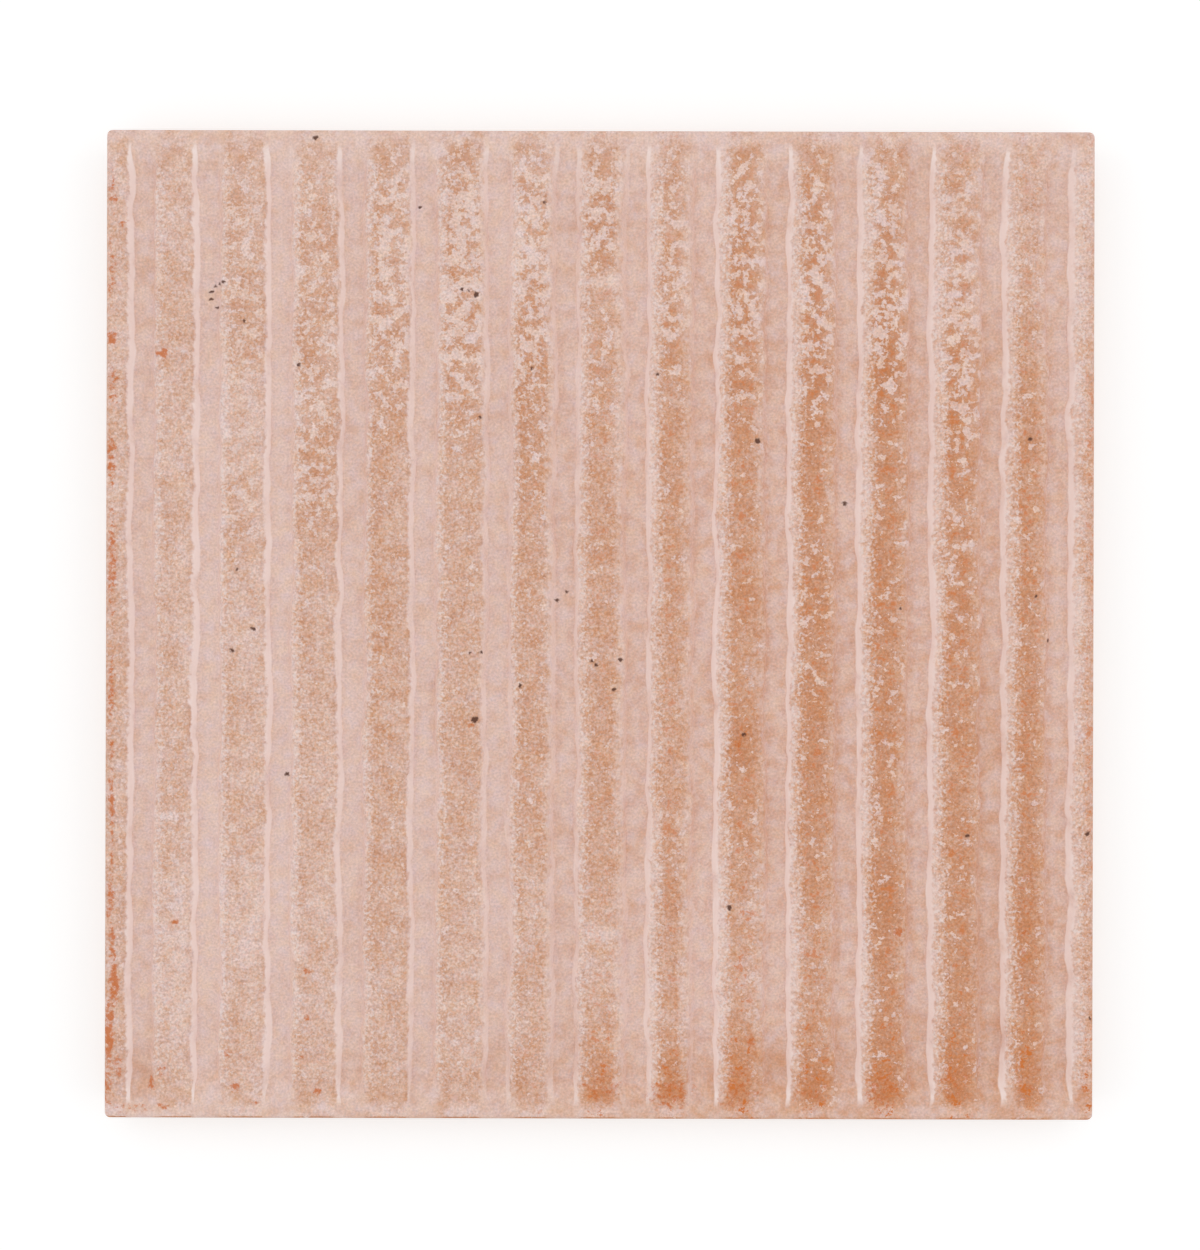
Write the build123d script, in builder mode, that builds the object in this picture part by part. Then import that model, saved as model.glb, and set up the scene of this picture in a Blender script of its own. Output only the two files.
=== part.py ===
from build123d import *
import os

# Ribbed square tile, dry-pressed and fired in one piece. All lengths are in millimetres.
# The tile lies on its back, face up: X runs across the ribs, Y along them, Z out of the face.
# The origin is the middle of the back.

# Blank
tile_side = 200.0
tile_thickness = 10.0  # over the ribs
corner_radius = 1.2  # seen from the front
arris_radius = 0.9  # soft edge all round the face
back_chamfer = 0.6

# Grooves in the face, one in the middle of each pitch, with part of a rib left at either side
groove_count = 14
joint_width = 2.0  # grout joint to the next tile, which the ribs carry on across at the same pitch
groove_mouth = 5.8  # between the rib tops, before the shoulders are rounded
groove_depth = 2.0
wall_draft = 24.0  # degrees from upright, so that the die lets go
shoulder_radius = 1.2
foot_radius = 0.5

# Groove ends, which run out before they reach the edge of the tile
rim_width = 4.0
ramp_length = 5.0

# Keyed back: shallow square pockets between the bars of a lattice, for the adhesive to grip
key_count = 8  # pockets each way
key_border = 10.0
key_bar = 4.0
key_depth = 0.8
key_corner_radius = 2.0
key_draft = 15.0  # degrees from upright

half_side = tile_side / 2
groove_pitch = (tile_side + joint_width) / groove_count
groove_floor_height = tile_thickness - groove_depth
key_pitch = (tile_side - 2 * key_border) / key_count
key_pocket = key_pitch - key_bar

rim_inside = half_side - rim_width
ramp_head = (rim_inside, tile_thickness)
ramp_middle = (rim_inside - ramp_length / 2, tile_thickness - groove_depth / 2)
ramp_foot = (rim_inside - ramp_length, groove_floor_height)
rim_base = groove_floor_height / 2  # inside the blank

# One groove's section, its mouth on the local X axis
with BuildSketch() as groove_section:
    Trapezoid(
        groove_mouth,
        groove_depth,
        90 - wall_draft,
        rotation=180,
        align=(Align.CENTER, Align.MIN),
    )

with BuildPart() as tile:
    # Section across the ribs, with the shoulders and the feet of the groove walls rounded
    with BuildSketch(Plane.XZ.offset(half_side)) as rib_section:
        Rectangle(tile_side, tile_thickness, align=(Align.CENTER, Align.MIN))
        with Locations((0, tile_thickness)):
            with GridLocations(groove_pitch, 0, groove_count, 1):
                add(groove_section.sketch, mode=Mode.SUBTRACT)
        levels = rib_section.vertices().group_by(Axis.Y)
        fillet(levels[1], foot_radius)
        fillet(levels[2].sort_by(Axis.X)[1:-1], shoulder_radius)
    extrude(amount=-tile_side)

    # Rims that close the grooves at both ends: flat on top, then an S-shaped ramp down to the floor
    with BuildSketch(Plane.YZ.offset(-half_side)) as rim_section:
        with BuildLine():
            TangentArc(ramp_foot, ramp_middle, tangent=(1, 0))
            TangentArc(ramp_head, ramp_middle, tangent=(-1, 0))
            Polyline(
                ramp_head,
                (half_side, tile_thickness),
                (half_side, rim_base),
                (ramp_foot[0], rim_base),
                ramp_foot,
            )
        make_face()
        mirror(about=Plane.YZ)
    extrude(amount=tile_side)

    # Corners, face edge and back edge
    fillet(tile.edges().filter_by(Axis.Z), corner_radius)
    flat_faces = tile.faces().filter_by(Axis.Z).sort_by(Axis.Z)
    fillet(flat_faces[-1].outer_wire().edges(), arris_radius)
    chamfer(tile.faces().filter_by(Axis.Z).sort_by(Axis.Z)[0].outer_wire().edges(), back_chamfer)

    # Pockets of the keyed back
    with BuildSketch(Plane.XY) as key_pockets:
        with GridLocations(key_pitch, key_pitch, key_count, key_count):
            RectangleRounded(key_pocket, key_pocket, key_corner_radius)
    extrude(amount=key_depth, taper=key_draft, mode=Mode.SUBTRACT)

tile.part.label = "tile"
os.makedirs("parts", exist_ok=True)
export_step(tile.part, "parts/tile.step")
print("tile volume", round(tile.part.volume / 1000, 1), "cm3")
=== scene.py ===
import bmesh
import bpy
import math
import numpy as np
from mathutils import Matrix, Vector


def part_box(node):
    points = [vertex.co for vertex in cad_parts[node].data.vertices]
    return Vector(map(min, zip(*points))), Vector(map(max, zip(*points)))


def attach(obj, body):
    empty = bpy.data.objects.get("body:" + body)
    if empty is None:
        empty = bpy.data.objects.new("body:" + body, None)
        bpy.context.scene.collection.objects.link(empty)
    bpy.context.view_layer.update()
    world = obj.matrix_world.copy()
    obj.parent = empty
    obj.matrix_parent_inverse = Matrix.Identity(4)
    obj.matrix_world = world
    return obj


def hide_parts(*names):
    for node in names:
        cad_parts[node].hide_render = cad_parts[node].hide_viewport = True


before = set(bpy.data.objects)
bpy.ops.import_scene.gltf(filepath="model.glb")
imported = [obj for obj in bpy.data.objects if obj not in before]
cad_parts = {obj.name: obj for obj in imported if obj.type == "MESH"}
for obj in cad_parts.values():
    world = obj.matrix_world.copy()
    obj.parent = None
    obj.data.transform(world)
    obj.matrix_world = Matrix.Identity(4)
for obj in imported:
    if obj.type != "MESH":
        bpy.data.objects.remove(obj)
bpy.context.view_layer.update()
scene = bpy.context.scene
mm = 0.001

low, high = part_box("tile")
halfSide = (high.x - low.x) / 2 / mm
thickness = (high.z - low.z) / mm
print("frame loaded, tile", round(2 * halfSide), "mm square and", round(thickness, 1), "mm thick")

# how the photo sees the face, so that a pixel of it can be put on the tile
photo = {
    "width": 1200,
    "height": 1250,
    "tileMiddle": (599.7, 624.8),
    "pixelsPerMm": 4.952,  # on the rib tops, as the outline lies a little lower
    "turn": 0.15,  # degrees, clockwise
    "lens": 35.0,
    "sensor": 36.0,
}


def onFace(px, py):
    middleX, middleY = photo["tileMiddle"]
    return (px - middleX) / photo["pixelsPerMm"], (middleY - py) / photo["pixelsPerMm"]


def fromSrgb(red, green, blue):
    parts = [c / 255 for c in (red, green, blue)]
    return [c / 12.92 if c <= 0.04045 else ((c + 0.055) / 1.055) ** 2.4 for c in parts] + [1.0]


# node helpers, for geometry and shader trees alike
def feed(tree, socket, value):
    if isinstance(value, bpy.types.NodeSocket):
        tree.links.new(value, socket)
    else:
        socket.default_value = value


def put(tree, kind, sockets=None, **settings):
    node = tree.nodes.new(kind)
    row, column = divmod(len(tree.nodes), 12)
    node.location = (column * 200, -row * 280)
    for name, value in settings.items():
        setattr(node, name, value)
    for key, value in (sockets or {}).items():
        feed(tree, node.inputs[key], value)
    return node


def calc(tree, operation, *values):
    return put(tree, "ShaderNodeMath", dict(enumerate(values)), operation=operation).outputs[0]


def plus(tree, first, *others):
    for value in others:
        first = calc(tree, "ADD", first, value)
    return first


def times(tree, first, *others):
    for value in others:
        first = calc(tree, "MULTIPLY", first, value)
    return first


def fade(tree, value, start, end, first=0.0, last=1.0):
    sockets = {"Value": value, "From Min": start, "From Max": end, "To Min": first, "To Max": last}
    return put(tree, "ShaderNodeMapRange", sockets, interpolation_type="SMOOTHSTEP").outputs[0]


def cloud(tree, vector, scale, detail=2.0, roughness=0.5, seed=None):
    sockets = {"Vector": vector, "Scale": scale, "Detail": detail, "Roughness": roughness}
    if seed is None:
        return put(tree, "ShaderNodeTexNoise", sockets).outputs[0]
    sockets["W"] = seed
    return put(tree, "ShaderNodeTexNoise", sockets, noise_dimensions="4D").outputs[0]


def sway(tree, value, amount):  # a cloud's swing about its middle, times an amount
    return times(tree, calc(tree, "SUBTRACT", value, 0.5), amount)


def blendColour(tree, factor, first, second, mode="MIX"):
    sockets = {0: factor, 6: first, 7: second}
    return put(tree, "ShaderNodeMix", sockets, data_type="RGBA", blend_type=mode).outputs[2]


def blendValue(tree, factor, first, second):
    return put(tree, "ShaderNodeMix", {0: factor, 2: first, 3: second}).outputs[0]


def newTree(name, kind, inputs, outputs):
    tree = bpy.data.node_groups.new(name, kind)
    keys = {}
    for label, socketType in inputs.items():
        item = tree.interface.new_socket(name=label, in_out="INPUT", socket_type=socketType)
        keys[label] = item.identifier
    for label, socketType in outputs.items():
        tree.interface.new_socket(name=label, in_out="OUTPUT", socket_type=socketType)
    return tree, keys, put(tree, "NodeGroupInput").outputs


def newGroup(name, inputs, outputs):
    tree, keys, given = newTree(name, "ShaderNodeTree", inputs, outputs)
    return tree, given


def runTree(mesh, name, tree, keys, values):
    # gives the tree's result as a plain mesh, and leaves no modifier behind
    holder = bpy.data.objects.new(name, mesh)
    scene.collection.objects.link(holder)
    modifier = holder.modifiers.new(name, "NODES")
    modifier.node_group = tree
    for label, value in values.items():
        modifier[keys[label]] = value
    depsgraph = bpy.context.evaluated_depsgraph_get()
    made = bpy.data.meshes.new_from_object(
        holder.evaluated_get(depsgraph), preserve_all_data_layers=True, depsgraph=depsgraph)
    holder.modifiers.remove(modifier)
    bpy.data.objects.remove(holder)
    return made


# glaze: one run of tones from full cover to where it breaks over the clay
glaze = {
    "tones": [
        (0.00, (241, 217, 209)),
        (0.30, (232, 202, 191)),
        (0.55, (219, 178, 157)),
        (0.80, (206, 151, 119)),
        (1.00, (194, 129, 89)),
    ],
    "orange": (218, 138, 82),
    "rust": (204, 108, 42),
    "speckTone": (88, 50, 34),
    "bodyScale": 340.0,  # noise scales are per metre
    "driftScale": 60.0,
    "driftShare": 0.4,
    "dustScale": 2100.0,
    "warmGrain": (0.4, 0.7),  # grain that takes the least and the most orange
    "warmShare": (0.22, 0.6),
    "blueSwing": 0.45,
    "redSwing": 0.135,
    "rustScale": 800.0,
    "rustSway": 4.0,
    "rustGrain": (0.45, 1.3),
    "rustHem": (0.02, 0.4),
}


def glazeToneGroup():
    # the share of broken glaze decides how far the grain turns from pale cover to brown
    tree, given = newGroup(
        "glazeTone",
        {"Vector": "NodeSocketVector", "Share": "NodeSocketFloat", "Contrast": "NodeSocketFloat",
         "Warmth": "NodeSocketFloat", "Dust": "NodeSocketFloat"},
        {"Color": "NodeSocketColor", "Grain": "NodeSocketFloat"})
    where = given["Vector"]
    body = put(tree, "ShaderNodeTexNoise", {
        "Vector": where, "Scale": glaze["bodyScale"], "Detail": 3.0, "Roughness": 0.75}).outputs
    grain = body[0]
    hue = put(tree, "ShaderNodeSeparateColor", {0: body[1]}).outputs[1]
    drift = cloud(tree, where, glaze["driftScale"], 2.0)
    dust = cloud(tree, where, glaze["dustScale"], 1.0, 0.6)
    swing = plus(tree, sway(tree, grain, 1.0), sway(tree, drift, glaze["driftShare"]))
    level = plus(tree, times(tree, swing, given["Contrast"]), given["Share"])
    ramp = put(tree, "ShaderNodeValToRGB", {"Fac": fade(tree, level, 0.0, 1.0)})
    stops = ramp.color_ramp.elements
    for place, tone in glaze["tones"][1:-1]:
        stops.new(place)
    for stop, (place, tone) in zip(stops, glaze["tones"]):
        stop.position = place
        stop.color = fromSrgb(*tone)
    warm = times(tree, fade(tree, grain, *glaze["warmGrain"], *glaze["warmShare"]), given["Warmth"])
    colour = blendColour(tree, warm, ramp.outputs[0], fromSrgb(*glaze["orange"]))
    shade = plus(tree, sway(tree, dust, given["Dust"]), 1.0)
    redder = plus(tree, shade, sway(tree, hue, glaze["redSwing"]))
    bluer = calc(tree, "SUBTRACT", shade, sway(tree, hue, glaze["blueSwing"]))
    tint = put(tree, "ShaderNodeCombineColor", {0: redder, 1: shade, 2: bluer}).outputs[0]
    colour = blendColour(tree, 1.0, colour, tint, "MULTIPLY")
    put(tree, "NodeGroupOutput", {"Color": colour, "Grain": grain})
    return tree


def rustGroup():
    # rust where the stain is strong, broken up by the grain it lies in
    tree, given = newGroup(
        "rustStain",
        {"Vector": "NodeSocketVector", "Amount": "NodeSocketFloat"},
        {"Mask": "NodeSocketFloat"})
    amount = given["Amount"]
    grain = cloud(tree, given["Vector"], glaze["rustScale"], 3.0, 0.7)
    level = plus(tree, sway(tree, grain, glaze["rustSway"]), amount)
    mask = times(tree, fade(tree, level, *glaze["rustGrain"]), fade(tree, amount, *glaze["rustHem"]))
    put(tree, "NodeGroupOutput", {"Mask": mask})
    return tree


def ironSpotGroup():
    # stray iron spots, one in a few of the cells
    tree, given = newGroup(
        "ironSpots",
        {"Vector": "NodeSocketVector", "Scale": "NodeSocketFloat",
         "Share": "NodeSocketFloat", "Size": "NodeSocketFloat"},
        {"Mask": "NodeSocketFloat"})
    cells = put(tree, "ShaderNodeTexVoronoi", {"Vector": given["Vector"], "Scale": given["Scale"]})
    pick = put(tree, "ShaderNodeSeparateColor", {0: cells.outputs["Color"]}).outputs
    chosen = calc(tree, "LESS_THAN", pick[0], given["Share"])
    size = times(tree, given["Size"], pick[1])
    spot = fade(tree, cells.outputs["Distance"], size, times(tree, size, 0.5))
    put(tree, "NodeGroupOutput", {"Mask": times(tree, chosen, spot)})
    return tree


glazeTone = glazeToneGroup()
rustStain = rustGroup()
ironSpots = ironSpotGroup()


def useGroup(tree, group, sockets):
    return put(tree, "ShaderNodeGroup", sockets, node_tree=group).outputs


def surfaceMask(tree, name):
    return put(tree, "ShaderNodeAttribute", attribute_name=name).outputs["Fac"]


def objectPlace(tree):
    return put(tree, "ShaderNodeTexCoord").outputs["Object"]


def bumpNormal(tree, height, strength, depth):
    sockets = {"Height": height, "Strength": strength, "Distance": depth * mm}
    return put(tree, "ShaderNodeBump", sockets).outputs[0]


def newMaterial(name):
    material = bpy.data.materials.new(name)
    material.use_nodes = True
    return material, material.node_tree, material.node_tree.nodes["Principled BSDF"]


# dark spots in the glaze, read off the photo: x, y, half width, all in its pixels
specks = [
    (314, 138, 2.6), (207, 297, 1.8), (208, 290, 1.6), (212, 285, 1.6), (217, 283, 1.8), (222, 282, 1.8),
    (214, 307, 1.6), (243, 322, 1.8), (298, 365, 1.8), (417, 204, 1.6), (544, 203, 1.6), (462, 289, 2.2),
    (475, 295, 2.6), (468, 291, 1.4), (531, 369, 1.6), (657, 374, 1.6), (480, 418, 1.4), (757, 440, 2.6),
    (846, 502, 2.2), (237, 570, 1.6), (253, 630, 1.6), (232, 651, 1.8), (557, 600, 1.8), (566, 592, 1.4),
    (470, 654, 1.4), (481, 653, 1.6), (520, 686, 2.0), (592, 660, 2.0), (596, 664, 1.8), (620, 660, 2.0),
    (614, 690, 2.2), (475, 720, 3.2), (285, 776, 2.2), (744, 735, 1.8), (730, 908, 2.8), (1036, 595, 1.8),
    (1050, 639, 2.0), (1030, 438, 2.0), (900, 608, 1.6), (968, 835, 1.8), (1088, 833, 2.2), (1091, 1017, 2.0),
]

speckLook = {
    "ragged": 1.6,
    "soft": 0.2,
    "strength": 0.95,
    "stray": {"Scale": 160.0, "Share": 0.03, "Size": 0.05},  # a few more, anywhere
    "strayStrength": 0.5,
}

# the glaze on the ribs, where it broke into grain. A pair is where a fade begins and ends
ribGlaze = {
    "fleckScale": 400.0,
    "fineScale": 1100.0,
    "fineSway": 1.8,  # how far the border of the grain strays
    "fleckSway": 1.4,
    "scatter": 0.5,
    "blotch": (0.42, 0.58),
    "fleck": (0.60, 0.66),
    "fleckFine": 0.4,
    "fleckHem": (0.05, 0.5),
    "fleckShare": 0.35,
    "crawlPull": 0.13,
    "ribDust": 0.62,
    "grooveDust": 0.5,
    "grooveContrast": 0.85,  # of what the ribs have
    "accent": (210, 118, 52),  # orange grains
    "accentGrain": (0.44, 0.36),
    "accentHem": (0.3, 0.9),
    "accentStrength": 1.6,
    "frost": (240, 224, 220),  # whitish grains, most of them on the left shoulder of a rib
    "frostScale": 1500.0,
    "frostGrain": (0.5, 0.68),
    "frostStrength": 0.6,
    "frostDust": 0.25,
    "rustStrength": 0.85,
    "grooveRoughness": 0.48,
    "ribRoughness": 0.62,
    "roughnessSway": 0.2,
    "specular": 0.3,
    "grooveBump": 0.15,
    "fleckBump": 0.3,
    "bumpStrength": 0.3,
    "bumpDepth": 0.35,  # mm
}

# pale lines along the walls, of thick pale glaze with a painted highlight on it, in mm from the edge of the
# groove's mouth
wallLine = {
    # the line's near-white tone is pale glaze plus a painted highlight
    "tone": (252, 232, 226),
    "breakScale": 170.0,
    "waver": 0.9,
    "ragged": 0.4,
    "top": (0.15, -0.25),
    "hemTop": 0.45,  # of the way to full grain on the rib
    "hemFoot": -0.35,
    "hemShare": 0.25,
    "foot": (-0.98, -0.72),
    "unbroken": (0.46, 0.78),
    "poolAndHighlightHelp": 0.25,
    "strength": 0.8,
}


def mattGlaze():
    material, tree, shader = newMaterial("mattGlaze")
    where = objectPlace(tree)
    gap = surfaceMask(tree, "grooveGap")
    poolAndHighlight = surfaceMask(tree, "poolAndHighlight")
    fringe = surfaceMask(tree, "fringe")
    ribEnd = surfaceMask(tree, "ribEnd")
    warmth = surfaceMask(tree, "warmth")
    flecks = cloud(tree, where, ribGlaze["fleckScale"], 4.0, 0.65)
    fine = cloud(tree, where, ribGlaze["fineScale"], 2.0, 0.6)

    # a rib's grain fades in from its left shoulder. At the right one it stops sharply
    # on the left half of the tile, and fades out on the right half
    ragged = plus(tree, sway(tree, fine, ribGlaze["fineSway"]), sway(tree, flecks, ribGlaze["fleckSway"]))
    scatter = times(tree, ragged, plus(tree, ribEnd, 1.0), ribGlaze["scatter"])
    onRib = fade(tree, plus(tree, gap, scatter), surfaceMask(tree, "ribStart"), ribEnd)

    # paler glaze along the walls, brightened by a painted highlight: it thins out upwards, and breaks off
    # here and there
    along = cloud(tree, where, wallLine["breakScale"], 3.0, 0.6)
    waver = plus(tree, gap, sway(tree, along, wallLine["waver"]))
    line = fade(tree, plus(tree, waver, times(tree, ragged, wallLine["ragged"])), *wallLine["top"])
    hemTop = times(tree, ribEnd, wallLine["hemTop"])
    hem = fade(tree, plus(tree, waver, scatter), hemTop, wallLine["hemFoot"])
    lineTop = blendValue(tree, wallLine["hemShare"], line, hem)
    lineFoot = fade(tree, waver, *wallLine["foot"])
    held = plus(tree, along, times(tree, poolAndHighlight, wallLine["poolAndHighlightHelp"]))
    unbroken = fade(tree, held, *wallLine["unbroken"])
    # the wall line: pale glaze and a painted highlight, strongest on the walls that face the middle of the
    # tile
    bead = times(tree, lineTop, lineFoot, unbroken, poolAndHighlight, wallLine["strength"])

    # blotches where the glaze broke over a rib, and pale flecks where it crawled back together
    blotches = fade(tree, blendValue(tree, 0.5, flecks, fine), *ribGlaze["blotch"], -0.5, 0.5)
    mixed = plus(tree, flecks, sway(tree, fine, ribGlaze["fleckFine"]))
    crawled = plus(tree, mixed, times(tree, surfaceMask(tree, "crawl"), ribGlaze["crawlPull"]))
    fleck = times(tree, fade(tree, crawled, *ribGlaze["fleck"]), fade(tree, onRib, *ribGlaze["fleckHem"]))

    # this share also holds the painted shade along the bottom edge
    share = plus(tree, surfaceMask(tree, "wearAndEdgeShade"), times(tree, blotches, surfaceMask(tree, "blotch")))
    level = blendValue(tree, onRib, surfaceMask(tree, "floorTone"), share)
    level = blendValue(tree, fleck, level, ribGlaze["fleckShare"])
    contrast = fade(tree, onRib, 0.0, 1.0, ribGlaze["grooveContrast"], 1.0)
    contrast = times(tree, surfaceMask(tree, "mottle"), contrast)
    dust = blendValue(tree, onRib, ribGlaze["grooveDust"], ribGlaze["ribDust"])
    dust = plus(tree, dust, times(tree, fringe, ribGlaze["frostDust"]))
    tone = useGroup(tree, glazeTone, {
        "Vector": where, "Share": level, "Contrast": contrast, "Warmth": warmth, "Dust": dust})

    accent = times(tree, fade(tree, mixed, *ribGlaze["accentGrain"]),
                   fade(tree, onRib, *ribGlaze["accentHem"]), warmth, ribGlaze["accentStrength"])
    grains = cloud(tree, where, ribGlaze["frostScale"], 1.0)
    frost = times(tree, fade(tree, grains, *ribGlaze["frostGrain"]), fringe, ribGlaze["frostStrength"])
    rust = useGroup(tree, rustStain, {"Vector": where, "Amount": surfaceMask(tree, "stain")})["Mask"]
    rust = times(tree, rust, ribGlaze["rustStrength"])
    colour = blendColour(tree, accent, tone["Color"], fromSrgb(*ribGlaze["accent"]))
    colour = blendColour(tree, frost, colour, fromSrgb(*ribGlaze["frost"]))
    # lay on the wall lines, pale glaze with a painted highlight
    colour = blendColour(tree, bead, colour, fromSrgb(*wallLine["tone"]))
    colour = blendColour(tree, rust, colour, fromSrgb(*glaze["rust"]))

    # specks with ragged outlines: the mesh holds the way to the nearest one, and its size
    toSpeck = put(tree, "ShaderNodeAttribute", attribute_name="toSpeck").outputs["Vector"]
    wayX, wayY, size = put(tree, "ShaderNodeSeparateXYZ", {0: toSpeck}).outputs
    wayX = plus(tree, wayX, sway(tree, fine, speckLook["ragged"]))
    wayY = plus(tree, wayY, sway(tree, flecks, speckLook["ragged"]))
    apart = calc(tree, "SQRT", plus(tree, times(tree, wayX, wayX), times(tree, wayY, wayY)))
    speck = fade(tree, calc(tree, "SUBTRACT", apart, size), speckLook["soft"], -speckLook["soft"])
    stray = useGroup(tree, ironSpots, {"Vector": where, **speckLook["stray"]})["Mask"]
    speck = calc(tree, "MAXIMUM", speck, times(tree, stray, speckLook["strayStrength"]))
    speck = times(tree, speck, speckLook["strength"])
    colour = blendColour(tree, speck, colour, fromSrgb(*glaze["speckTone"]))
    feed(tree, shader.inputs["Base Color"], colour)

    rough = blendValue(tree, onRib, ribGlaze["grooveRoughness"], ribGlaze["ribRoughness"])
    rough = plus(tree, rough, sway(tree, fine, ribGlaze["roughnessSway"]))
    feed(tree, shader.inputs["Roughness"], rough)
    shader.inputs["Specular IOR Level"].default_value = ribGlaze["specular"]
    relief = times(tree, tone["Grain"], blendValue(tree, onRib, ribGlaze["grooveBump"], 1.0))
    relief = plus(tree, relief, times(tree, fleck, ribGlaze["fleckBump"]))
    normal = bumpNormal(tree, relief, ribGlaze["bumpStrength"], ribGlaze["bumpDepth"])
    feed(tree, shader.inputs["Normal"], normal)
    return material


# the bare body of the sides and the back
clay = {
    "tone": (205, 152, 118),
    "pale": (214, 167, 135),
    "dark": (168, 108, 76),
    "mottleScale": 240.0,
    "mottle": (0.35, 0.7),
    "gritScale": 1300.0,
    "grit": (0.56, 0.72),
    "spots": {"Scale": 330.0, "Share": 0.12, "Size": 0.22},
    "spotStrength": 0.7,
    "overrun": 2.6,  # mm of the side that the glaze ran down over
    "overrunGlaze": {"Share": 0.45, "Contrast": 0.8, "Warmth": 0.2, "Dust": 0.62},
    "hemScale": 55.0,
    "hemSway": 5.0,
    "hemSoft": 0.12,
    "rustStrength": 0.7,
    "roughness": 0.88,
    "glazedRoughness": 0.5,
    "specular": 0.15,
    "gritBump": 0.7,
    "hemBump": 0.5,
    "bumpStrength": 0.5,
    "bumpDepth": 0.3,  # mm
}


def bareClay():
    material, tree, shader = newMaterial("bareClay")
    where = objectPlace(tree)
    height = calc(tree, "DIVIDE", put(tree, "ShaderNodeSeparateXYZ", {0: where}).outputs[2], mm)
    mottle = cloud(tree, where, clay["mottleScale"], 4.0, 0.6)
    grit = cloud(tree, where, clay["gritScale"], 3.0, 0.65)
    paler = fade(tree, mottle, *clay["mottle"])
    colour = blendColour(tree, paler, fromSrgb(*clay["tone"]), fromSrgb(*clay["pale"]))
    colour = blendColour(tree, fade(tree, grit, *clay["grit"]), colour, fromSrgb(*clay["dark"]))
    spots = useGroup(tree, ironSpots, {"Vector": where, **clay["spots"]})["Mask"]
    spots = times(tree, spots, clay["spotStrength"])
    colour = blendColour(tree, spots, colour, fromSrgb(*glaze["speckTone"]))

    # glaze that ran over the edge, with an uneven hem
    hem = cloud(tree, where, clay["hemScale"], 4.0, 0.55)
    hemHeight = plus(tree, height, sway(tree, hem, clay["hemSway"]))
    hemLevel = thickness - clay["overrun"]
    covered = fade(tree, hemHeight, hemLevel - clay["hemSoft"], hemLevel + clay["hemSoft"])
    tone = useGroup(tree, glazeTone, {"Vector": where, **clay["overrunGlaze"]})
    colour = blendColour(tree, covered, colour, tone["Color"])
    rust = useGroup(tree, rustStain, {"Vector": where, "Amount": surfaceMask(tree, "stain")})["Mask"]
    rust = times(tree, rust, clay["rustStrength"])
    colour = blendColour(tree, rust, colour, fromSrgb(*glaze["rust"]))
    feed(tree, shader.inputs["Base Color"], colour)
    rough = blendValue(tree, covered, clay["roughness"], clay["glazedRoughness"])
    feed(tree, shader.inputs["Roughness"], rough)
    shader.inputs["Specular IOR Level"].default_value = clay["specular"]
    relief = plus(tree, times(tree, grit, clay["gritBump"]), times(tree, covered, clay["hemBump"]))
    normal = bumpNormal(tree, relief, clay["bumpStrength"], clay["bumpDepth"])
    feed(tree, shader.inputs["Normal"], normal)
    return material


glazeMaterial = mattGlaze()
clayMaterial = bareClay()
print("materials made")

# the ribbed face, all lengths in mm
face = {
    "grooves": 14,
    "joint": 2.0,  # grout joint that the ribs carry on across
    # how far each groove lies off its even place, from left to right
    "drift": [1.0, -0.2, 0.0, 0.3, 0.4, 0.9, 0.2, 0.3, -0.5, -0.2, -0.3, -0.1, 0.1, -0.8],
    # columns of the grid, from the middle of a groove outwards
    "grooveStations": [0.0, 0.8, 1.35, 1.65, 1.9, 2.15, 2.4, 2.65, 2.9, 3.15, 3.45, 3.8, 4.3],
    "ribSteps": 7,
    "sideSteps": 3,  # on the part ribs at the sides
    "edgeInsets": [0.3, 0.5, 0.75, 1.05, 1.6, 2.4],
    "rowStep": 1.1,
    "cornerRadius": 1.2,
    "arrisTurn": 68.0,  # degrees round the arris, where the sides begin
    "relief": {
        "Groove Mouth": 5.8,
        "Groove Depth": 2.0,
        "Wall Draft": 24.0,
        "Shoulder Round": 2.0,
        "Foot Round": 0.8,
        "Tile Side": 2 * halfSide,
        "Rim Width": 4.0,
        "Ramp Length": 5.0,
        "Arris Radius": 0.9,
        "Wander": 0.75,
        "Wander Length": 10.0,
        "Bead Height": 0.12,
        "Pool Height": 0.18,
        "Grit Height": 0.12,
        "Grit Size": 1.9,
        "Seed": 4.0,
    },
}


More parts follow.
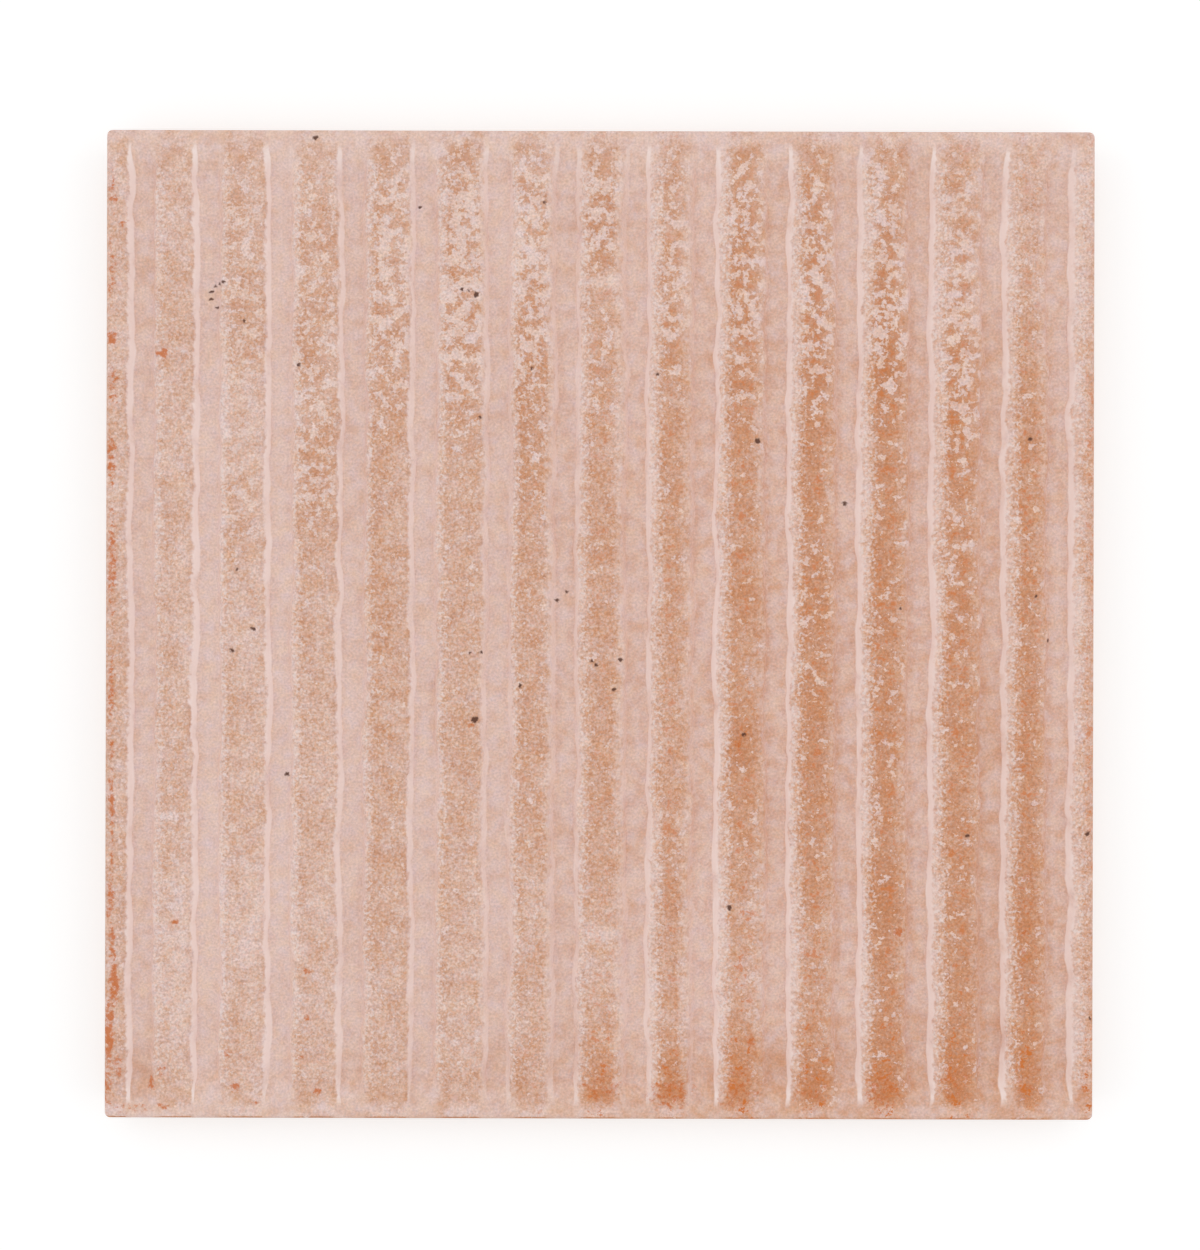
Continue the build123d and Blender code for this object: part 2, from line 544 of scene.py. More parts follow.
def facePlan():
    # flat grid over the face, with its columns gathered where the groove walls will be
    count = face["grooves"]
    pitch = (2 * halfSide + face["joint"]) / count
    centres = (np.arange(count) - (count - 1) / 2) * pitch + np.array(face["drift"])
    stations = np.array(face["grooveStations"])
    reach = stations[-1]
    edge = halfSide - np.array(face["edgeInsets"])
    columns, owners = list(-edge), [0] * len(edge)
    for i, centre in enumerate(centres):
        previous = columns[-1]
        steps = face["ribSteps"] if i else face["sideSteps"]
        between = np.linspace(previous, centre - reach, steps + 1)[1:-1]
        middle = (previous + centre - reach) / 2
        columns += list(between)
        owners += [i if x > middle or i == 0 else i - 1 for x in between]
        around = np.concatenate([-stations[:0:-1], stations])
        columns += list(centre + around)
        owners += [i] * len(around)
    last = np.linspace(columns[-1], edge[-1], face["sideSteps"] + 1)[1:-1]
    columns += list(last) + list(edge[::-1])
    owners += [count - 1] * (len(last) + len(edge))
    columns, owners = np.array(columns), np.array(owners)
    length = 2 * edge[-1]
    inner = np.arange(-edge[-1], edge[-1] + 1e-6, length / round(length / face["rowStep"]))
    rows = np.concatenate([-edge[:-1], inner, edge[-2::-1]])

    x, y = [g.ravel() for g in np.meshgrid(columns, rows)]
    fromGroove = np.tile(columns - centres[owners], len(rows))
    groove = np.tile(owners, len(rows))
    # the grid's corners are drawn in to the rounded outline
    core = halfSide - face["cornerRadius"]
    overX, overY = np.maximum(np.abs(x) - core, 0), np.maximum(np.abs(y) - core, 0)
    over = np.hypot(overX, overY)
    corner = (overX > 0) & (overY > 0)
    pull = np.where(corner, np.maximum(overX, overY) / np.maximum(over, 1e-9), 1.0)
    inset = np.where(corner, face["cornerRadius"] - over * pull,
                     halfSide - np.maximum(np.abs(x), np.abs(y)))
    x = np.where(corner, np.sign(x) * (core + overX * pull), x)
    y = np.where(corner, np.sign(y) * (core + overY * pull), y)

    wide, deep = len(columns), len(rows)
    first = (np.arange(deep - 1)[:, None] * wide + np.arange(wide - 1)[None, :]).ravel()
    quads = np.stack([first, first + 1, first + wide + 1, first + wide], 1)
    mesh = bpy.data.meshes.new("facePlan")
    points = np.stack([x, y, np.full_like(x, thickness)], 1) * mm
    mesh.from_pydata(points.tolist(), [], quads.tolist())
    for name, values in (("fromGroove", fromGroove), ("edgeInset", inset), ("groove", groove)):
        mesh.attributes.new(name, "FLOAT", "POINT").data.foreach_set("value", values.astype(np.float32))
    return mesh


# what happens where across a groove, in mm out from the edge of its mouth, negative into the groove
bands = {
    "beadFoot": (-1.7, -1.0),
    "beadTop": (0.1, -0.6),
    "pool": (-0.6, -1.4),
    "poolScale": 0.05,
    "grit": (0.0, 1.2),
    "grooveGrit": 0.2,  # of what the ribs have
    "wander": (6.4, 4.2),  # from the groove's middle
    "wanderGain": 4.0,
    "wanderStretch": (2.5, 1.0, 1.0),
    "swellRate": 1.6,
}


def ribReliefTree():
    labels = {"Geometry": "NodeSocketGeometry"}
    labels.update({label: "NodeSocketFloat" for label in face["relief"]})
    labels["Finish"] = "NodeSocketMaterial"
    tree, keys, given = newTree("ribRelief", "GeometryNodeTree", labels, {"Geometry": "NodeSocketGeometry"})

    def stored(name):
        return put(tree, "GeometryNodeInputNamedAttribute", {"Name": name}, data_type="FLOAT").outputs[0]

    def vector(operation, sockets):
        return put(tree, "ShaderNodeVectorMath", sockets, operation=operation).outputs[0]

    def nextSeed(step):
        return plus(tree, given["Seed"], step)

    here = put(tree, "GeometryNodeInputPosition").outputs[0]
    spot = vector("SCALE", {0: here, "Scale": 1 / mm})
    x, y, z = put(tree, "ShaderNodeSeparateXYZ", {0: spot}).outputs
    across = calc(tree, "ABSOLUTE", stored("fromGroove"))
    gap = calc(tree, "SUBTRACT", across, times(tree, given["Groove Mouth"], 0.5))

    # the grooves run out before the rims
    rampHead = calc(tree, "SUBTRACT", times(tree, given["Tile Side"], 0.5), given["Rim Width"])
    rampFoot = calc(tree, "SUBTRACT", rampHead, given["Ramp Length"])
    openness = fade(tree, calc(tree, "ABSOLUTE", y), rampHead, rampFoot)

    # section: drafted walls, rounded at the shoulder and at the foot
    slope = calc(tree, "TANGENT", calc(tree, "RADIANS", given["Wall Draft"]))
    section = calc(tree, "SMOOTH_MIN", calc(tree, "DIVIDE", gap, slope), 0.0, given["Shoulder Round"])
    floor = times(tree, given["Groove Depth"], -1.0)
    section = calc(tree, "SMOOTH_MAX", section, floor, given["Foot Round"])

    # each wall wanders by itself, and glaze pools along its foot
    stretched = vector("MULTIPLY", {0: spot, 1: bands["wanderStretch"]})
    wanderScale = calc(tree, "DIVIDE", 1.0, given["Wander Length"])
    sideways = cloud(tree, stretched, wanderScale, 3.0, 0.5, given["Seed"])
    near = fade(tree, across, *bands["wander"])
    shift = times(tree, sway(tree, sideways, given["Wander"]), near, bands["wanderGain"])
    bead = times(tree, fade(tree, gap, *bands["beadFoot"]), fade(tree, gap, *bands["beadTop"]))
    swell = cloud(tree, stretched, times(tree, wanderScale, bands["swellRate"]), 2.0, 0.5, nextSeed(7.0))
    beadLift = times(tree, bead, swell, given["Bead Height"])
    pool = cloud(tree, spot, bands["poolScale"], 2.0, 0.5, nextSeed(13.0))
    poolLift = times(tree, pool, fade(tree, gap, *bands["pool"]), given["Pool Height"])
    sunk = times(tree, plus(tree, section, beadLift, poolLift), openness)

    # gritty rib tops
    gritScale = calc(tree, "DIVIDE", 1.0, given["Grit Size"])
    grit = cloud(tree, spot, gritScale, 3.0, 0.6, nextSeed(21.0))
    onRib = fade(tree, gap, *bands["grit"], bands["grooveGrit"], 1.0)
    gritDrop = times(tree, grit, onRib, given["Grit Height"])

    # soft edge all round
    radius = given["Arris Radius"]
    bite = calc(tree, "MAXIMUM", calc(tree, "SUBTRACT", radius, stored("edgeInset")), 0.0)
    chord = calc(tree, "SUBTRACT", times(tree, radius, radius), times(tree, bite, bite))
    drop = calc(tree, "SUBTRACT", radius, calc(tree, "SQRT", chord))

    level = calc(tree, "SUBTRACT", plus(tree, z, sunk), plus(tree, gritDrop, drop))
    moved = put(tree, "ShaderNodeCombineXYZ", {0: plus(tree, x, shift), 1: y, 2: level}).outputs[0]
    moved = vector("SCALE", {0: moved, "Scale": mm})
    shaped = put(tree, "GeometryNodeSetPosition", {
        "Geometry": given["Geometry"], "Position": moved}).outputs[0]
    for name, value in (("grooveGap", gap), ("runOut", calc(tree, "SUBTRACT", 1.0, openness))):
        shaped = put(
            tree, "GeometryNodeStoreNamedAttribute", {"Geometry": shaped, "Name": name, "Value": value},
            data_type="FLOAT", domain="POINT").outputs[0]
    solid = put(tree, "GeometryNodeRealizeInstances", {0: shaped}).outputs[0]
    done = put(tree, "GeometryNodeSetMaterial", {"Geometry": solid, "Material": given["Finish"]}).outputs[0]
    put(tree, "NodeGroupOutput", {"Geometry": done})
    return tree, keys


plan = facePlan()
reliefTree, reliefKeys = ribReliefTree()
faceMesh = runTree(plan, "ribRelief", reliefTree, reliefKeys, {**face["relief"], "Finish": glazeMaterial})
lowest = min(v.co.z for v in faceMesh.vertices) / mm
print("face:", len(faceMesh.polygons), "quads, lowest", round(lowest, 2), "mm")

# keyed back: one cell of the lattice, set out in a square
back = {
    "border": 10.0,
    "count": 8,
    "depth": 0.8,
    "bar": 4.0,
    "draft": 15.0,
    "wallShare": 0.75,  # of the depth, before the wall rounds into the floor
    "footRound": 0.35,
    "cornerRadius": 2.0,
    "cornerSteps": 5,
    "chamfer": 0.6,
    "weld": 0.01,
}
keyPitch = (2 * halfSide - 2 * back["border"]) / back["count"]


def roundedSquare(half, radius, steps):
    points = []
    for quarter in range(4):
        for k in range(steps):
            turn = math.pi / 2 * (quarter + k / (steps - 1))
            cornerX, cornerY = [math.copysign(half - radius, f(math.pi / 2 * (quarter + 0.5)))
                                for f in (math.cos, math.sin)]
            points.append((cornerX + radius * math.cos(turn), cornerY + radius * math.sin(turn)))
    return points


def keyCell():
    mouth = (keyPitch - back["bar"]) / 2
    radius, depth, steps = back["cornerRadius"], back["depth"], back["cornerSteps"]
    inset = depth * math.tan(math.radians(back["draft"]))
    wallInset = inset * back["wallShare"]
    footInset = inset + back["footRound"]
    bm = bmesh.new()

    def ring(half, corner, z):
        return [bm.verts.new((x * mm, y * mm, z * mm)) for x, y in roundedSquare(half, corner, steps)]

    lip = ring(mouth, radius, 0.0)
    wall = ring(mouth - wallInset, radius - wallInset, depth * back["wallShare"])
    foot = ring(mouth - footInset, radius - footInset, depth)
    middle = ring(mouth / 2, radius / 2, depth)
    corners = [bm.verts.new((sx * keyPitch / 2 * mm, sy * keyPitch / 2 * mm, 0))
               for sx, sy in ((1, 1), (-1, 1), (-1, -1), (1, -1))]
    count = len(lip)
    for outer, inner in ((lip, wall), (wall, foot), (foot, middle)):
        for i in range(count):
            bm.faces.new((outer[i], outer[(i + 1) % count], inner[(i + 1) % count], inner[i]))
    bm.faces.new(middle)
    for q in range(4):
        for k in range(steps - 1):
            bm.faces.new((corners[q], lip[q * steps + k + 1], lip[q * steps + k]))
        after = (q + 1) % 4
        bm.faces.new((corners[q], corners[after], lip[after * steps], lip[q * steps + steps - 1]))
    mesh = bpy.data.meshes.new("keyCell")
    bm.to_mesh(mesh)
    bm.free()
    return mesh


def keyedBackTree():
    tree, keys, given = newTree(
        "keyedBack", "GeometryNodeTree",
        {"Geometry": "NodeSocketGeometry", "Count": "NodeSocketInt", "Pitch": "NodeSocketFloat",
         "Finish": "NodeSocketMaterial"},
        {"Geometry": "NodeSocketGeometry"})
    count = given["Count"]
    span = times(tree, calc(tree, "SUBTRACT", count, 1.0), times(tree, given["Pitch"], mm))
    spots = put(tree, "GeometryNodeMeshGrid", {
        "Size X": span, "Size Y": span, "Vertices X": count, "Vertices Y": count}).outputs[0]
    cells = put(tree, "GeometryNodeInstanceOnPoints", {
        "Points": spots, "Instance": given["Geometry"]}).outputs[0]
    solid = put(tree, "GeometryNodeRealizeInstances", {0: cells}).outputs[0]
    solid = put(tree, "GeometryNodeMergeByDistance", {
        "Geometry": solid, "Distance": back["weld"] * mm}).outputs[0]
    done = put(tree, "GeometryNodeSetMaterial", {"Geometry": solid, "Material": given["Finish"]}).outputs[0]
    put(tree, "NodeGroupOutput", {"Geometry": done})
    return tree, keys


keyTree, keyKeys = keyedBackTree()
keyValues = {"Count": back["count"], "Pitch": keyPitch, "Finish": clayMaterial}
backMesh = runTree(keyCell(), "keyedBack", keyTree, keyKeys, keyValues)
print("back:", len(backMesh.polygons), "faces")


def closeTile():
    # sides and back edge grow from the rim of the face, then meet the key lattice
    bm = bmesh.new()
    bm.from_mesh(faceMesh)
    bm.verts.ensure_lookup_table()
    core = halfSide - face["cornerRadius"]
    arris = face["relief"]["Arris Radius"]
    bend = math.radians(face["arrisTurn"])
    rings = [
        (arris * (1 - math.sin(bend)), thickness - arris * (1 - math.cos(bend))),
        (0.0, thickness - arris),
        (0.0, thickness * 0.5),
        (0.0, back["chamfer"]),
        (back["chamfer"], 0.0),
    ]
    edges = [e for e in bm.edges if e.is_boundary]
    for inset, z in rings:
        grown = bmesh.ops.extrude_edge_only(bm, edges=edges)["geom"]
        for v in [g for g in grown if isinstance(g, bmesh.types.BMVert)]:
            x, y = v.co.x / mm, v.co.y / mm
            overX, overY = max(abs(x) - core, 0), max(abs(y) - core, 0)
            over = math.hypot(overX, overY)
            wanted = face["cornerRadius"] - inset
            x = math.copysign(min(abs(x), core) + overX / over * wanted, x)
            y = math.copysign(min(abs(y), core) + overY / over * wanted, y)
            v.co = (x * mm, y * mm, z * mm)
        edges = [g for g in grown if isinstance(g, bmesh.types.BMEdge) and g.is_boundary]
        if z < thickness - arris:
            for g in grown:
                if isinstance(g, bmesh.types.BMFace):
                    g.material_index = 1
    before = len(bm.verts)
    bm.from_mesh(backMesh)
    bm.verts.ensure_lookup_table()
    for f in bm.faces:
        if f.verts[0].index >= before:
            f.material_index = 1
    rim = [e for e in bm.edges if e.is_boundary]
    filled = bmesh.ops.triangle_fill(bm, edges=rim, use_beauty=True, use_dissolve=False)["geom"]
    for g in filled:
        if isinstance(g, bmesh.types.BMFace):
            g.material_index = 1
    bmesh.ops.recalc_face_normals(bm, faces=bm.faces)
    openEdges = sum(1 for e in bm.edges if not e.is_manifold)
    mesh = bpy.data.meshes.new("ribbedTile")
    bm.to_mesh(mesh)
    bm.free()
    print("closed: open edges", openEdges)
    return mesh


tileMesh = closeTile()
tileMesh.materials.append(glazeMaterial)
tileMesh.materials.append(clayMaterial)

# how the glaze lies: tones by rib and groove from left to right, then patches read off the photo
wearPlan = {
    "ribTone": [0.54, 0.50, 0.49, 0.54, 0.58, 0.56, 0.60, 0.59, 0.62, 0.66, 0.71, 0.70, 0.69, 0.70, 0.50],
    "grooveTone": [0.38, 0.33, 0.33, 0.38, 0.36, 0.37, 0.40, 0.38, 0.38, 0.39, 0.39, 0.41, 0.46, 0.39],
    "topTone": 0.49,
    "topShare": 0.8,
    "topBand": (30, 85),  # between which two y in mm, as in the next bands
    "rimTone": 0.36,
    "rimBand": (95.5, 98.5),
    "lineEnd": (95.5, 98),
    # painted shade: the bottom edge alone turns full brown, partly thin glaze at the arris and partly shade
    # under light from the top
    "edgeShadeTone": 1.0,
    "edgeShadeBand": (-99.4, -99.7),
    "lowGrooves": (-75, -95),
    "lowRibs": (-75, -92),
    "shoulder": 2.9,  # mm from the middle of a groove
    "halfRib": 4.3,
    "crawlWear": 0.13,
    "warmth": 0.1,
    "topCooling": 0.6,
    "warmRib": (0.0, 1.5),  # mm out from the edge of the groove's mouth, as in the next two
    "fringeFoot": (-0.6, 0.2),
    "fringeRib": (0.2, 1.2),
    "fringeTop": (1.2, 0.6),  # of the way to full grain
    # what changes from left to right: between which two x in mm, and from what to what.
    # left and right are a groove's walls, start and end where the grain beside them begins and is full
    "across": {
        "lean": (-22, 22, -0.035, 0.0),  # less wear towards the right of a rib
        "leftStart": (-10, 45, -0.2, -3.0),
        "leftEnd": (-40, 25, 0.4, 3.6),
        # how strong the left walls' line is, pale glaze with a painted highlight
        "leftPoolAndHighlight": (-90, 60, 1.1, 0.2),
        "rightStart": (-22, 22, -0.7, 0.0),
        "rightEnd": (-22, 22, 2.2, 3.2),
        # how strong the right walls' line is, pale glaze with a painted highlight
        "rightPoolAndHighlight": (-50, 30, 0.25, 1.1),
        "lowTone": (-22, 22, 0.05, 0.1),
        "crawl": (0, 40, 0.0, 0.22),
        "mottle": (-40, 40, 0.56, 0.6),
        "blotch": (-40, 40, 0.14, 0.19),
        "fringe": (-22, 22, 0.6, 0.25),
        "warmRight": (-40, 40, 0.0, 0.35),
        "warmLow": (-20, 5, 0.0, 0.3),
    },
    # x, y, half width, half height in photo pixels, then how much more (or less) wear
    "patches": [
        (603, 1085, 24, 28, 0.13), (672, 1085, 24, 26, 0.14), (742, 1082, 24, 28, 0.05),
        (812, 1084, 26, 26, 0.15), (884, 1076, 24, 34, 0.12), (956, 1074, 26, 32, 0.18),
        (1028, 1066, 24, 34, 0.10), (1080, 230, 20, 120, -0.08), (1080, 1050, 14, 50, -0.08),
        (880, 330, 22, 70, 0.10), (745, 742, 16, 26, 0.16), (884, 905, 22, 40, 0.10),
        (1026, 930, 22, 60, 0.06), (808, 420, 20, 60, 0.06), (610, 282, 24, 8, -0.30),
        (600, 932, 22, 8, -0.16), (170, 960, 30, 110, -0.09), (672, 820, 22, 60, -0.08),
        (815, 250, 22, 70, 0.05), (245, 980, 30, 90, -0.04), (320, 970, 30, 100, -0.05),
        (390, 980, 30, 90, -0.05), (460, 980, 30, 90, -0.04), (530, 970, 30, 90, -0.07),
        (605, 960, 30, 80, -0.09), (675, 970, 30, 80, -0.05), (742, 970, 30, 90, -0.12),
        (812, 970, 30, 90, -0.10), (740, 220, 30, 90, 0.08), (598, 220, 24, 90, 0.08),
        (960, 220, 40, 110, -0.06), (1040, 220, 60, 110, -0.06), (860, 270, 190, 130, 0.04),
        (245, 420, 30, 60, -0.08), (671, 700, 22, 70, -0.06), (740, 700, 22, 70, -0.06),
        (245, 1040, 30, 60, 0.05),
    ],
    "floorPatches": [
        (700, 970, 110, 110, -0.06), (990, 220, 60, 110, -0.05), (860, 270, 190, 130, 0.02),
        (215, 220, 50, 110, 0.04), (130, 230, 20, 110, 0.03), (141, 1082, 18, 14, 0.12),
        (270, 800, 110, 190, -0.03),
    ],
    "crawlPatches": [
        (240, 300, 40, 160, 0.8), (315, 330, 40, 180, 0.8), (390, 270, 40, 140, 1.0),
        (460, 270, 40, 150, 1.2), (530, 270, 40, 150, 1.1), (610, 210, 40, 60, 1.0),
        (610, 380, 40, 60, 0.6), (680, 260, 40, 130, 0.9), (750, 270, 40, 130, 1.0),
        (815, 280, 40, 130, 1.0), (885, 280, 40, 140, 1.0), (955, 320, 45, 170, 1.0),
        (1025, 250, 40, 100, 0.4), (310, 470, 40, 60, 0.9), (955, 560, 40, 120, 0.6),
        (815, 620, 40, 120, 0.5), (880, 700, 40, 150, 0.4), (1025, 620, 40, 120, 0.3),
        (670, 850, 40, 60, 0.6), (750, 850, 40, 60, 0.3), (170, 880, 40, 100, 0.6),
        (240, 460, 40, 80, 0.7), (530, 430, 40, 80, 0.5),
    ],
    "stains": [
        (112, 800, 3, 34, 1.1), (113, 850, 3, 24, 0.8), (111, 900, 4, 26, 1.0), (113, 950, 4, 24, 0.9),
        (115, 985, 5, 22, 1.3), (110, 1035, 5, 34, 1.3), (108, 1085, 5, 26, 0.9), (118, 1068, 6, 14, 0.7),
        (112, 192, 5, 22, 0.8), (122, 224, 4, 6, 0.9), (111, 338, 6, 8, 1.2), (163, 354, 9, 5, 1.3),
        (111, 460, 4, 30, 1.0), (112, 560, 5, 60, 0.9), (111, 690, 4, 40, 0.9), (113, 385, 5, 24, 0.9),
        (110, 270, 4, 34, 0.8), (112, 745, 3, 22, 0.8), (603, 1090, 22, 16, 0.6), (672, 1092, 22, 18, 0.75),
        (740, 1090, 20, 22, 0.65), (812, 1092, 18, 18, 0.6), (884, 1090, 18, 22, 0.75),
        (955, 1082, 16, 22, 0.65), (1028, 1080, 16, 24, 0.5), (752, 1042, 5, 5, 1.5),
        (176, 922, 3.5, 3.5, 1.4), (163, 1072, 4, 4, 1.5), (152, 1086, 5, 6, 1.2), (163, 1108, 8, 4, 0.8),
        (229, 1055, 6, 4, 1.1), (236, 1088, 6, 5, 1.1), (258, 1100, 8, 3, 0.8), (300, 1058, 5, 4, 1.2),
        (319, 1093, 4, 3.5, 1.4), (308, 970, 8, 4, 0.9), (309, 1020, 5, 5, 0.9), (740, 745, 8, 12, 0.6),
        (472, 722, 6, 6, 0.7), (900, 930, 7, 7, 0.9), (880, 760, 16, 60, 0.35),
        (958, 620, 16, 50, 0.4), (1028, 900, 14, 90, 0.4), (130, 1110, 24, 5, 0.7),
    ],
}


def patchField(x, y, patches, join=np.add):
    field = np.zeros_like(x)
    for px, py, halfWide, halfHigh, amount in patches:
        middleX, middleY = onFace(px, py)
        away = np.hypot((x - middleX) / halfWide, (y - middleY) / halfHigh) * photo["pixelsPerMm"]
        field = join(field, amount * np.clip(1.5 - away, 0, 1))
    return field


def smooth(value, start, end):
    part = np.clip((value - start) / (end - start), 0, 1)
    return part * part * (3 - 2 * part)


def layGlaze(mesh):
    faceCount = len(faceMesh.vertices)
    count = len(mesh.vertices)
    place = np.empty(count * 3, np.float32)
    mesh.vertices.foreach_get("co", place)
    x, y = place.reshape(-1, 3)[:, 0] / mm, place.reshape(-1, 3)[:, 1] / mm

    def kept(name, fill):
        values = np.full(count, fill, np.float32)
        part = np.empty(faceCount, np.float32)
        faceMesh.attributes[name].data.foreach_get("value", part)
        values[:faceCount] = part
        return values

    def band(value, name):
        return smooth(value, *wearPlan[name])

    def across(name):
        start, end, first, last = wearPlan["across"][name]
        return first + (last - first) * smooth(x, start, end)

    gap = kept("grooveGap", 3.0)
    runOut = kept("runOut", 1.0)
    fromGroove = kept("fromGroove", 5.0)
    groove = kept("groove", 0).astype(int)
    leftWall = fromGroove < 0
    ribTone = np.array(wearPlan["ribTone"])[groove + (fromGroove > 0)]
    grooveTone = np.array(wearPlan["grooveTone"])[groove]

    top = band(y, "topBand")
    wearAndEdgeShade = ribTone + (wearPlan["topTone"] - ribTone) * top * wearPlan["topShare"]
    # place across a rib, from -1 at its left shoulder to 1 at its right one
    inFromShoulder = np.clip((np.abs(fromGroove) - wearPlan["shoulder"]) / wearPlan["halfRib"], 0, 1)
    wearAndEdgeShade += across("lean") * -np.sign(fromGroove) * (1 - inFromShoulder)
    wearAndEdgeShade += patchField(x, y, wearPlan["patches"])
    rim = band(np.abs(y), "rimBand")
    wearAndEdgeShade = wearAndEdgeShade * (1 - rim) + wearPlan["rimTone"] * rim
    floorTone = grooveTone * (1 - rim) + wearPlan["rimTone"] * rim
    # painted shade along the bottom edge only, over thin glaze at the arris
    footEdgeShade = band(y, "edgeShadeBand")
    wearAndEdgeShade = wearAndEdgeShade * (1 - footEdgeShade) + wearPlan["edgeShadeTone"] * footEdgeShade
    floorTone += across("lowTone") * band(y, "lowGrooves")
    floorTone += patchField(x, y, wearPlan["floorPatches"])
    crawl = np.maximum(patchField(x, y, wearPlan["crawlPatches"], np.maximum), across("crawl"))
    wearAndEdgeShade += wearPlan["crawlWear"] * crawl

    # the walls that face the middle of the tile are seen best, so they hold the bright lines: pale glaze with
    # a painted highlight
    ribStart = np.where(leftWall, across("leftStart"), across("rightStart"))
    ribEnd = np.where(leftWall, across("leftEnd"), across("rightEnd"))
    poolAndHighlight = np.where(leftWall, across("leftPoolAndHighlight"), across("rightPoolAndHighlight"))
    poolAndHighlight = poolAndHighlight * (1 - band(np.abs(y), "lineEnd"))

    # whitish grains: most over the left shoulder of each rib, and some all over the ribs
    fadeFrom, fadeTo = wearPlan["fringeTop"]
    fringe = ~leftWall * band(gap, "fringeFoot") * smooth(gap, ribEnd * fadeFrom, ribEnd * fadeTo)
    fringe = np.maximum(fringe, across("fringe") * band(gap, "fringeRib")) * (1 - runOut)

    warmth = wearPlan["warmth"] + across("warmRight") * (1 - wearPlan["topCooling"] * top)
    warmth += across("warmLow") * band(y, "lowRibs") * band(gap, "warmRib")
    stain = patchField(x, y, wearPlan["stains"], np.maximum)
    layFloats(mesh, {
        "grooveGap": gap, "ribStart": ribStart, "ribEnd": ribEnd, "poolAndHighlight": poolAndHighlight, "wearAndEdgeShade": wearAndEdgeShade,
        "floorTone": floorTone, "mottle": across("mottle"), "blotch": across("blotch"),
        "fringe": fringe, "crawl": crawl, "stain": stain, "warmth": warmth})
    for name in ("fromGroove", "edgeInset", "groove", "runOut"):
        mesh.attributes.remove(mesh.attributes[name])


def layFloats(mesh, fields):
    for name, values in fields.items():
        old = mesh.attributes.get(name)
        if old:
            mesh.attributes.remove(old)
        mesh.attributes.new(name, "FLOAT", "POINT").data.foreach_set("value", values.astype(np.float32))


def laySpecks(mesh):
    # every corner of a face keeps its way to the speck that is nearest to that face
    spots = np.array([(*onFace(px, py), half / photo["pixelsPerMm"]) for px, py, half in specks])
    place = np.empty(len(mesh.vertices) * 3, np.float32)
    mesh.vertices.foreach_get("co", place)
    place = place.reshape(-1, 3)[:, :2] / mm
    corners = np.empty(len(mesh.loops), np.int32)
    mesh.loops.foreach_get("vertex_index", corners)
    sizes = np.empty(len(mesh.polygons), np.int32)
    mesh.polygons.foreach_get("loop_total", sizes)
    middles = np.empty(len(mesh.polygons) * 3, np.float32)
    mesh.polygons.foreach_get("center", middles)
    middles = middles.reshape(-1, 3)[:, :2] / mm
    away = np.hypot(middles[:, 0, None] - spots[:, 0], middles[:, 1, None] - spots[:, 1])
    nearest = spots[np.repeat(np.argmin(away, 1), sizes)]
    toSpeck = np.column_stack([place[corners] - nearest[:, :2], nearest[:, 2]])
    layer = mesh.attributes.new("toSpeck", "FLOAT_VECTOR", "CORNER")
    layer.data.foreach_set("vector", toSpeck.astype(np.float32).ravel())


layGlaze(tileMesh)
laySpecks(tileMesh)
tileMesh.shade_smooth()
tileMesh.set_sharp_from_angle(angle=math.radians(38))
tile = bpy.data.objects.new("ribbedTile", tileMesh)
scene.collection.objects.link(tile)
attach(tile, "root")
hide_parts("tile")
for spare in (plan, faceMesh, backMesh):
    bpy.data.meshes.remove(spare)
tileMesh.calc_loop_triangles()
print("tile:", len(tileMesh.loop_triangles), "triangles")

# pale floor that stays white to the camera and still takes the shadow
studio = {
    "floorSide": 6.0,
    "floorDrop": 0.02,  # mm under the tile
    "floorTone": 0.8,
    "floorLift": 0.33,
    "skyFill": 0.72,
    "lamps": [  # place, side, watts
        ((0.0, 0.8, 1.5), 1.2, 2.4),
        ((-1.3, 0.0, 0.8), 1.0, 2.6),
        ((1.3, 0.0, 0.8), 1.0, 2.6),
    ],
}


def seenDirectly(tree):
    rays = put(tree, "ShaderNodeLightPath").outputs
    seen = calc(tree, "MAXIMUM", rays["Is Camera Ray"], rays["Is Glossy Ray"])
    return calc(tree, "MAXIMUM", seen, rays["Is Transmission Ray"])


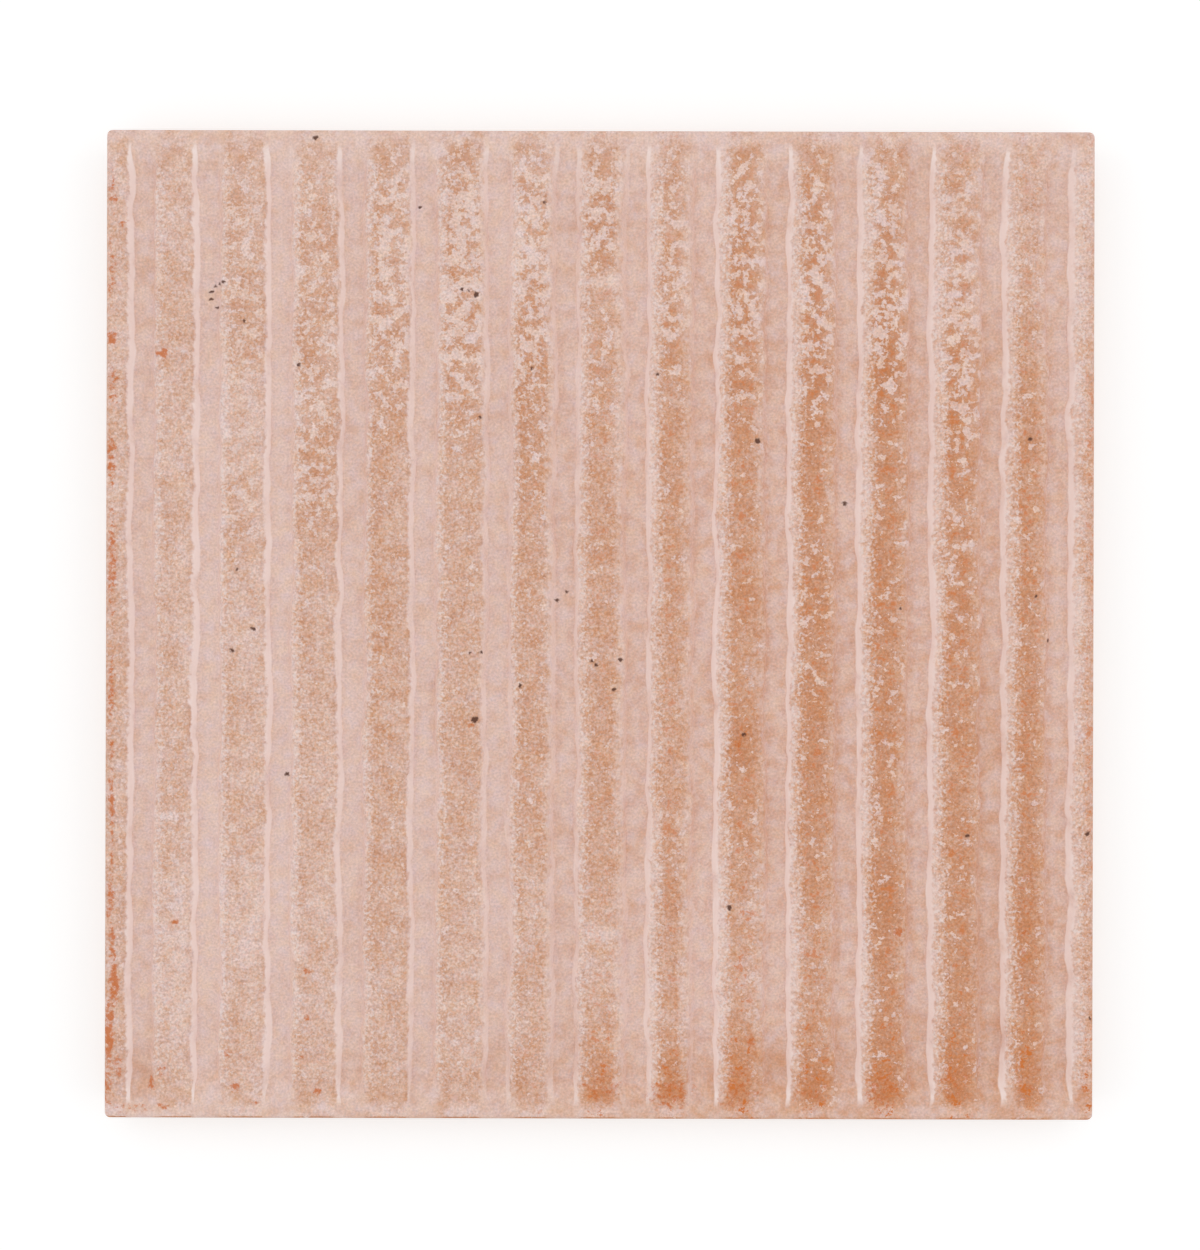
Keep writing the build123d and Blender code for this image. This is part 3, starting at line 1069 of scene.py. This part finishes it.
def makeStudio():
    half = studio["floorSide"] / 2
    mesh = bpy.data.meshes.new("floor")
    z = -studio["floorDrop"] * mm
    corners = [(-half, -half, z), (half, -half, z), (half, half, z), (-half, half, z)]
    mesh.from_pydata(corners, [], [(0, 1, 2, 3)])
    floor = bpy.data.objects.new("floor", mesh)
    scene.collection.objects.link(floor)
    material, tree, shader = newMaterial("studioFloor")
    tone = studio["floorTone"]
    shader.inputs["Base Color"].default_value = (tone, tone, tone, 1)
    shader.inputs["Roughness"].default_value = 1.0
    shader.inputs["Specular IOR Level"].default_value = 0.0
    shader.inputs["Emission Color"].default_value = (1, 1, 1, 1)
    feed(tree, shader.inputs["Emission Strength"],
         calc(tree, "MULTIPLY", seenDirectly(tree), studio["floorLift"]))
    mesh.materials.append(material)

    world = bpy.data.worlds.new("studioSky")
    world.use_nodes = True
    sky = world.node_tree
    glow = calc(sky, "ADD", studio["skyFill"],
                calc(sky, "MULTIPLY", seenDirectly(sky), 1.0 - studio["skyFill"]))
    background = sky.nodes["Background"]
    background.inputs["Color"].default_value = (1, 1, 1, 1)
    feed(sky, background.inputs["Strength"], glow)
    scene.world = world

    for i, (place, side, watts) in enumerate(studio["lamps"]):
        lamp = bpy.data.lights.new("softbox%d" % i, "AREA")
        lamp.size = side
        lamp.energy = watts
        holder = bpy.data.objects.new("softbox%d" % i, lamp)
        scene.collection.objects.link(holder)
        holder.location = place
        holder.rotation_euler = (-holder.location).to_track_quat("-Z", "Y").to_euler()


def placeCamera():
    # the long side of the picture is its height
    span = photo["height"] / photo["pixelsPerMm"]
    lens = bpy.data.cameras.new("overhead")
    lens.lens = photo["lens"]
    lens.sensor_width = photo["sensor"]
    lens.clip_start = 0.01
    camera = bpy.data.objects.new("overhead", lens)
    scene.collection.objects.link(camera)
    lookX, lookY = onFace(photo["width"] / 2, photo["height"] / 2)
    camera.location = (lookX * mm, lookY * mm, (thickness + span * photo["lens"] / photo["sensor"]) * mm)
    camera.rotation_euler = (0, 0, math.radians(photo["turn"]))
    scene.camera = camera


makeStudio()
placeCamera()
scene.view_settings.view_transform = "Standard"
print("studio and camera set")
